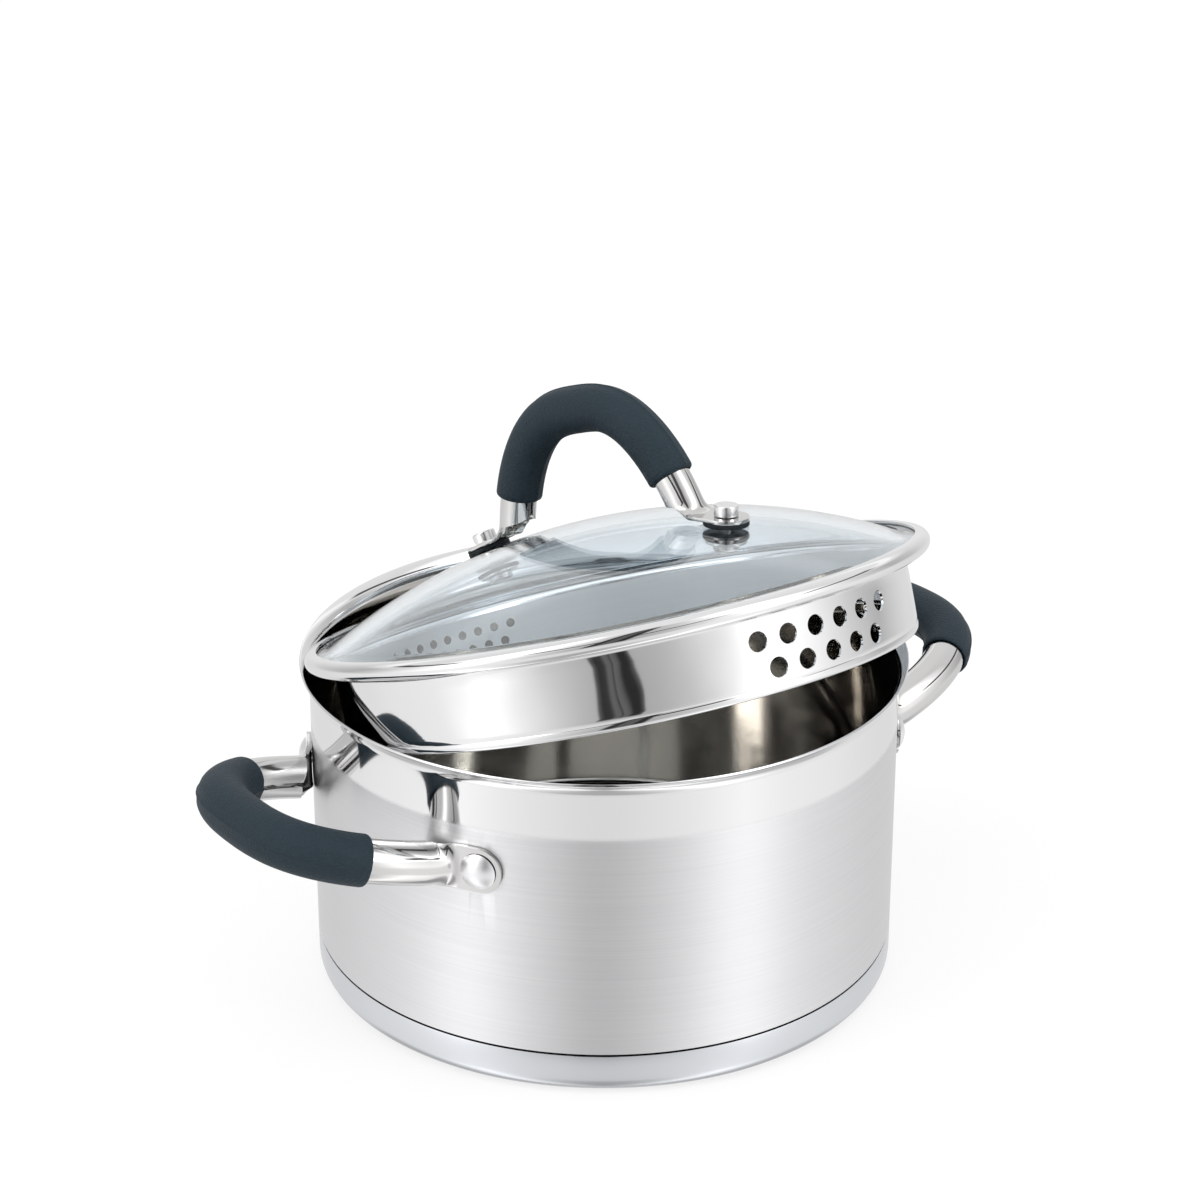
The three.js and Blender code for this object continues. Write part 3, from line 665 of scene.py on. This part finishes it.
def buildGrip(loop, name, place):
    size = loop.size
    bore = size["tube"] / 2 + gap
    outside = bore + size["gripWall"]
    bevel = size["gripBevel"]
    start, end = loop.gripStart, loop.gripEnd
    count = gripShape["rings"]
    inner = [start + (end - start) * i / count for i in range(count + 1)]
    full = [start + bevel + (end - start - 2 * bevel) * i / count for i in range(count + 1)]
    face = (bore + outside) / 2
    along = bevel * gripShape["cornerAlong"]
    corner = outside - size["gripWall"] * gripShape["cornerDown"]
    rows = [loop.ring(start, bore), loop.ring(start, face), loop.ring(start + along, corner)]
    rows += [loop.ring(d, outside, gripShape["ridge"]) for d in full]
    rows += [loop.ring(end - along, corner), loop.ring(end, face)]
    rows += [loop.ring(d, bore) for d in reversed(inner)]
    return makeObject(extrudeRows(rows, True), name, place)


sideLoops = {side: Loop(sideHandle, gripSlide[side]) for side in ("right", "left")}
lidLoop = Loop(lidHandle, gripSlide["lid"])
rivetTurn = sideLoops["right"].fastener
rivet = {"head": 6.3, "headHeight": 2.5, "headEdge": 0.12, "shank": 2.9, "hole": 3.2,
         "tail": 5.4, "tailHeight": 1.4, "tailRound": 0.7, "headFace": 102.3, "tailFace": 98.74}


def buildRivet(size, name, place):
    dome = (size["head"] ** 2 + size["headHeight"] ** 2) / (2 * size["headHeight"])
    top = size["headFace"] + size["headHeight"]
    middle = top - dome
    edge = asin((dome - size["headHeight"]) / dome) * 180 / pi
    tailBack = size["tailFace"] - size["tailHeight"]
    soft = size["tailRound"]
    line = [(0, tailBack)]
    line += arcPoints((size["tail"] - soft, tailBack + soft), soft, -90, 0, 4)
    line += [(size["tail"], size["tailFace"]), (size["shank"], size["tailFace"])]
    line += [(size["shank"], size["headFace"])]
    line += [(size["head"] - size["headEdge"], size["headFace"])]
    line += arcPoints((0, middle), dome, edge + 1, 90, 12)[:-1] + [(0, top)]
    return makeObject(spinProfile(line, 48), name, place)


def buildSideHandles():
    seat = Matrix.Translation((0, 0, sideHandle["seat"]))
    for side, turn in (("right", 0.0), ("left", pi)):
        place = Matrix.Translation((0, 0, sideHandle["height"])) @ Matrix.Rotation(turn, 4, "Z")
        ends = {where: place @ Matrix.Rotation(across * rivetTurn, 4, "Z") @ outward
                for where, across in (("rear", 1), ("front", -1))}
        holes = [drill(rivet["hole"], 8, spot @ seat) for spot in ends.values()]
        strap = buildStrap(sideLoops[side], side + "HandleStrap", place, holes)
        hang(strap, "pot", "polished_steel", [strapSteel], side + "_handle_strap")
        grip = buildGrip(sideLoops[side], side + "HandleGrip", place)
        hang(grip, "pot", "silicone", [gripSilicone], side + "_handle_grip")
        for end, spot in ends.items():
            where = end if side == "right" else {"rear": "front", "front": "rear"}[end]
            piece = buildRivet(rivet, side + "Handle" + where.title() + "Rivet", spot)
            hang(piece, "pot", "polished_steel", [rivetSteel], f"{side}_handle_{where}_rivet")


buildPot(potBody)
buildBase(baseCap, potBody)
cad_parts["base_core"].data.materials.clear()
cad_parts["base_core"].data.materials.append(castAluminium(castLook))
print("pot and base built")
buildSideHandles()
print("side handles built")


# Lid band: a bead rolled round the glass, a flange and a straining skirt with a hem
lidBand = {"sheet": 0.8, "beadCentre": (103.6, 3.1), "beadCurve": 2.7, "cover": 1.4,
           "cornerCentre": (99.3, -1.6), "corner": 2.0, "skirt": 97.3, "rings": (-5, -13, -21),
           "hemCentre": (96.55, -24.45), "hem": 0.75, "hemHeight": 2.4,
           "creases": ((-22.4, 0.0), (-22.8, 0.14), (-23.2, 0.0)), "edge": 0.14,
           "brushed": (-21, -3), "steps": 288}
strainer = {"turn": 7.3, "length": 12,
            "coarse": {"radius": 3.3, "pitch": 6.55, "rows": ((8.3, 6), (17.7, 5)), "sides": 40},
            "fine": {"radius": 1.7, "pitch": 4.05, "rows": ((7.6, 9), (13.7, 8)), "sides": 28}}
lidGlass = {"thickness": 4.0, "radius": 207.67, "centre": -177.67, "edge": 98.6, "rim": 103.6,
            "rimMiddle": 3.1, "rimBend": 2, "hole": 2.6, "steps": 192}


def strainerDrills():
    front = radians(strainer["turn"] - 90)
    for kind, direction in (("coarse", front), ("fine", front + pi)):
        holes = strainer[kind]
        for depth, count in holes["rows"]:
            on = Matrix.Translation((lidBand["skirt"], 0, -depth))
            for i in range(count):
                turn = direction + radians(holes["pitch"]) * (i - (count - 1) / 2)
                spot = Matrix.Rotation(turn, 4, "Z") @ on @ outward
                yield drill(holes["radius"], strainer["length"], lidPlace @ spot, holes["sides"])


def buildBand(size):
    bead, corner, hem = size["beadCentre"], size["cornerCentre"], size["hemCentre"]
    line = [(bead[0] - size["cover"], bead[1] + size["beadCurve"])]
    line += arcPoints(bead, size["beadCurve"], 90, -90, 14)
    line += arcPoints(corner, size["corner"], 90, 180, 6)
    line += [(size["skirt"], high) for high in size["rings"]]
    line += [(size["skirt"] - crease, high) for high, crease in size["creases"]]
    line += arcPoints(hem, size["hem"], 0, -180, 10)
    line += [(hem[0] - size["hem"], hem[1] + size["hemHeight"])]
    band = makeObject(spinProfile(line, size["steps"]), "lidBand", lidPlace)
    thicken(band, size["sheet"])
    cutHoles(band, strainerDrills())
    roundEdges(band, size["edge"], 55)
    applyModifiers(band)
    hang(band, "lid", "polished_steel", [bandSteel, bandInside], "lid_band", sharp=20)
    back = lidPlaceMetres.inverted()
    low, high = size["brushed"]
    for face in band.data.polygons:
        spot = back @ face.center
        reach = hypot(spot.x, spot.y) / mm
        if reach < size["skirt"] - 0.1 and low < spot.z / mm < high:
            face.material_index = 1


def buildGlass(size):
    middle = size["radius"] - size["thickness"] / 2
    edge = asin(size["edge"] / size["radius"]) * 180 / pi
    line = [(0, size["centre"] + middle)]
    line += arcPoints((0, size["centre"]), middle, 90, 90 - edge, 30)[1:]
    line += [(size["edge"] + size["rimBend"], size["rimMiddle"]), (size["rim"], size["rimMiddle"])]
    glass = makeObject(spinProfile(line, size["steps"]), "lidGlass", lidPlace)
    thicken(glass, size["thickness"])
    on = Matrix.Translation((0, 0, size["radius"]))
    cutHoles(glass, [drill(size["hole"], 16, spot @ on) for spot in fastenerPlaces().values()])
    hang(glass, "lid", "tempered_glass", [glassFinish], "lid_glass")


def fastenerPlaces():
    turn = Matrix.Rotation(radians(lidHandle["turn"] - 90), 4, "Z")
    rise = Matrix.Translation((0, 0, lidHandle["centre"]))
    return {end: lidPlace @ turn @ rise @ Matrix.Rotation(across * lidLoop.fastener, 4, "Y")
            for end, across in (("front", 1), ("rear", -1))}


# Fasteners of the lid handle, drawn along the dome's normal
lidFastener = {"hole": 2.3, "nut": 4.1, "nutFace": 211.37, "nutBore": 2.4, "nutHeight": 3.5,
               "crown": 0.6, "gasket": 7.6, "gasketRound": 0.35, "upperFaces": (207.97, 209.57),
               "lowerFaces": (201.26, 202.46), "washer": 6.8, "washerRound": 0.25,
               "washerFaces": (199.96, 200.96), "screw": 2.0, "head": 4.2, "headHeight": 2.4,
               "headRound": 1.2, "screwFace": 199.66}


def buildRing(radius, faces, softness, name, place):
    low, high = faces
    hole = lidFastener["hole"]
    line = [(hole, low)] + arcPoints((radius - softness, low + softness), softness, -90, 0, 4)
    line += arcPoints((radius - softness, high - softness), softness, 0, 90, 4) + [(hole, high)]
    return makeObject(spinProfile(line, 48, True), name, place)


def buildNut(size, name, place):
    boreEnd = size["nutFace"] + size["nutBore"]
    top = size["nutFace"] + size["nutHeight"]
    crown = size["crown"]
    line = [(0, boreEnd), (size["hole"], boreEnd)]
    line += [(size["hole"], size["nutFace"]), (size["nut"], size["nutFace"])]
    line += arcPoints((size["nut"] - crown, top - crown), crown, 0, 90, 5) + [(0, top)]
    return makeObject(spinProfile(line, 48), name, place)


def buildScrew(size, name, place):
    low = size["screwFace"] - size["headHeight"]
    tip = size["nutFace"] + size["nutBore"] - gap
    soft = size["headRound"]
    line = [(0, low)] + arcPoints((size["head"] - soft, low + soft), soft, -90, 0, 5)
    line += [(size["head"], size["screwFace"]), (size["screw"], size["screwFace"])]
    line += [(size["screw"], tip), (0, tip)]
    return makeObject(spinProfile(line, 48), name, place)


def buildFasteners(size):
    for end, place in fastenerPlaces().items():
        label = "lid" + end.title()
        nut = buildNut(size, label + "BarrelNut", place)
        hang(nut, "lid", "polished_steel", [nutSteel], f"lid_{end}_barrel_nut")
        for layer in ("upper", "lower"):
            gasket = buildRing(size["gasket"], size[layer + "Faces"], size["gasketRound"],
                               label + layer.title() + "Gasket", place)
            hang(gasket, "lid", "silicone", [gasketSilicone], f"lid_{end}_{layer}_gasket")
        washer = buildRing(size["washer"], size["washerFaces"], size["washerRound"],
                           label + "Washer", place)
        hang(washer, "lid", "polished_steel", [nutSteel], f"lid_{end}_washer")
        screw = buildScrew(size, label + "Screw", place)
        hang(screw, "lid", "polished_steel", [nutSteel], f"lid_{end}_screw")


def buildLidHandle():
    stand = Matrix(((0, 1, 0, 0), (0, 0, 1, 0), (1, 0, 0, 0), (0, 0, 0, 1)))
    place = (lidPlace @ Matrix.Rotation(radians(lidHandle["turn"] - 90), 4, "Z")
             @ Matrix.Translation((0, 0, lidHandle["centre"])) @ stand)
    on = Matrix.Translation((0, 0, lidHandle["seat"] + 1))
    holes = [drill(lidHandle["hole"], 8, spot @ on) for spot in fastenerPlaces().values()]
    strap = buildStrap(lidLoop, "lidHandleStrap", place, holes)
    hang(strap, "lid", "polished_steel", [strapSteel], "lid_handle_strap")
    grip = buildGrip(lidLoop, "lidHandleGrip", place)
    hang(grip, "lid", "silicone", [gripSilicone], "lid_handle_grip")


buildBand(lidBand)
buildGlass(lidGlass)
print("lid band and glass built")
buildLidHandle()
buildFasteners(lidFastener)
print("lid handle built")


# Camera at the photograph's angle
camera = {"place": (-575.7, -789.5, 553.4), "target": (0, 0, 131.95), "lens": 94.45,
          "sensor": 36, "shift": -0.00345, "nearest": 0.05}


def setCamera(size):
    data = bpy.data.cameras.new("camera")
    data.lens = size["lens"]
    data.sensor_width = size["sensor"]
    data.shift_x = size["shift"]
    data.clip_start = size["nearest"]
    eye = bpy.data.objects.new("camera", data)
    eye.location = Vector(size["place"]) * mm
    gaze = (Vector(size["target"]) - Vector(size["place"])).normalized()
    eye.rotation_euler = gaze.to_track_quat("-Z", "Y").to_euler()
    scene.collection.objects.link(eye)
    scene.camera = eye


# A white room with softboxes on both sides of the camera and dark stands behind it.
# Each glow gives the light by direction, from straight behind the object to the camera,
# and each edge gives the heights on the unit sphere between which one glow turns into the next.
studio = {
    "toCamera": (-0.5892, -0.8080), "white": (1, 1, 1, 1),
    "floorGlow": ((0.0, 0.80), (0.17, 0.88), (0.41, 1.0), (0.63, 1.07), (0.71, 1.13), (0.78, 1.18),
                  (0.854, 1.10), (0.91, 1.02), (0.978, 0.93), (1.0, 0.88)),
    "wallGlow": ((0.0, 0.90), (0.15, 0.66), (0.27, 0.55), (0.43, 0.80), (0.57, 1.12), (0.695, 1.45),
                 (0.79, 1.72), (0.877, 1.14), (0.937, 0.83), (0.978, 0.61), (1.0, 0.51)),
    "upperGlow": ((0.0, 1.0), (0.2, 0.95), (0.45, 0.90), (0.57, 1.40), (0.70, 2.60), (0.79, 2.60),
                  (0.88, 1.40), (0.937, 1.0), (0.978, 0.75), (1.0, 0.60)),
    "stripGlow": ((0.0, 1.25), (0.20, 1.15), (0.24, 0.90), (0.27, 0.10), (0.62, 0.06), (0.66, 1.0),
                  (0.70, 7.0), (0.83, 7.0), (0.87, 1.20), (0.91, 0.06), (1.0, 0.05)),
    "stands": ((0.0, 0.10), (0.10, 0.035), (0.26, 0.05), (0.36, 0.16), (0.47, 0.14), (0.50, 0.02),
               (0.54, 0.17), (0.66, 0.13), (0.76, 0.03), (0.92, 0.03), (1.0, 0.10)),
    "floorEdge": (-0.75, -0.62), "wallEdge": (-0.30, -0.06), "upperEdge": (0.22, 0.36),
    "stripEdges": ((0.36, 0.39), (0.46, 0.49)), "ceilingEdge": (0.88, 0.98),
    "standSpan": (-0.185, 0.085), "standBlur": 0.018, "standEdges": ((-0.12, 0.0), (0.90, 0.98))}
floorPaper = {"half": 4000, "drop": 0.2, "grain": 30.0, "white": 0.75,
              "tones": ((0.90, 0.90, 0.90, 1), (0.92, 0.92, 0.92, 1))}
topSoftbox = {"place": (-0.2, -0.1, 1.6), "target": (0, 0, 0.1), "side": 1.6, "power": 6}


def between(shop, value, edges):
    return shop.smooth(value, edges[0]) * (1 - shop.smooth(value, edges[1]))


def paintWorld(size):
    world = bpy.data.worlds.new("studio")
    scene.world = world
    world.use_nodes = True
    shop = Shop(world.node_tree)
    x, y, z = shop.split(shop.node("TexCoord", None, None, "Generated"))
    flat = (x * x + y * y + 1e-4).maths("SQRT")
    toward = (x * size["toCamera"][0] + y * size["toCamera"][1]) / flat
    share = toward * 0.5 + 0.5
    floor, wall, strip, upper = [shop.node("ValToRGB", {"stops": size[row]}, {0: share}) for row in
                                 ("floorGlow", "wallGlow", "stripGlow", "upperGlow")]
    room = shop.blend(shop.smooth(z, size["floorEdge"]), wall, floor)
    room = shop.blend(shop.smooth(z, size["wallEdge"]), room, wall)
    room = shop.blend(shop.smooth(z, size["upperEdge"]), room, upper)
    room = shop.blend(between(shop, z, size["stripEdges"]), room, strip)
    room = shop.blend(shop.smooth(z, size["ceilingEdge"]), room, size["white"])
    side = (y * size["toCamera"][0] - x * size["toCamera"][1]) / flat
    start, end = size["standSpan"]
    blur = size["standBlur"]
    stands = shop.node("ValToRGB", {"stops": size["stands"]}, {0: (side - start) / (end - start)})
    within = between(shop, side, ((start - blur, start), (end, end + blur)))
    upright = between(shop, z, size["standEdges"]) * (toward > 0)
    room = shop.blend(within * upright, room, stands)
    direct, through, glances = shop.outputs(shop.node("LightPath"), (
        "Is Camera Ray", "Is Transmission Ray", "Glossy Depth"))
    seen = direct + through * (glances < 0.5)
    colour = shop.blend(seen, room, size["white"])
    shop.node("OutputWorld", None, {"Surface": shop.node("Background", None, {"Color": colour})})


def addFloor(size):
    bm = bmesh.new()
    bmesh.ops.create_grid(bm, x_segments=1, y_segments=1, size=size["half"])
    floor = makeObject(bm, "floor", Matrix.Translation((0, 0, -size["drop"])))
    material, shop, coords = startMaterial("floorPaper")
    tone = shop.blend(shop.noise(coords, size["grain"], 3.0), *size["tones"])
    matt = shop.node("BsdfDiffuse", None, {"Color": tone})
    white = shop.node("Emission", None, {"Color": studio["white"]})
    direct, through = shop.outputs(shop.node("LightPath"), ("Is Camera Ray", "Is Transmission Ray"))
    seen = (direct + through) * size["white"]
    mixed = shop.node("MixShader", None, {0: seen, 1: matt, 2: white})
    shop.node("OutputMaterial", None, {"Surface": mixed})
    floor.data.materials.append(material)
    floor.visible_glossy = False


def addLamp(size, name):
    data = bpy.data.lights.new(name, "AREA")
    data.shape = "RECTANGLE"
    data.size = size["side"]
    data.size_y = size["side"]
    data.energy = size["power"]
    lamp = bpy.data.objects.new(name, data)
    lamp.location = size["place"]
    gaze = Vector(size["target"]) - Vector(size["place"])
    lamp.rotation_euler = gaze.to_track_quat("-Z", "Y").to_euler()
    lamp.visible_glossy = False
    scene.collection.objects.link(lamp)


setCamera(camera)
paintWorld(studio)
addFloor(floorPaper)
addLamp(topSoftbox, "topSoftbox")
scene.view_settings.view_transform = "Standard"
print("stage set")
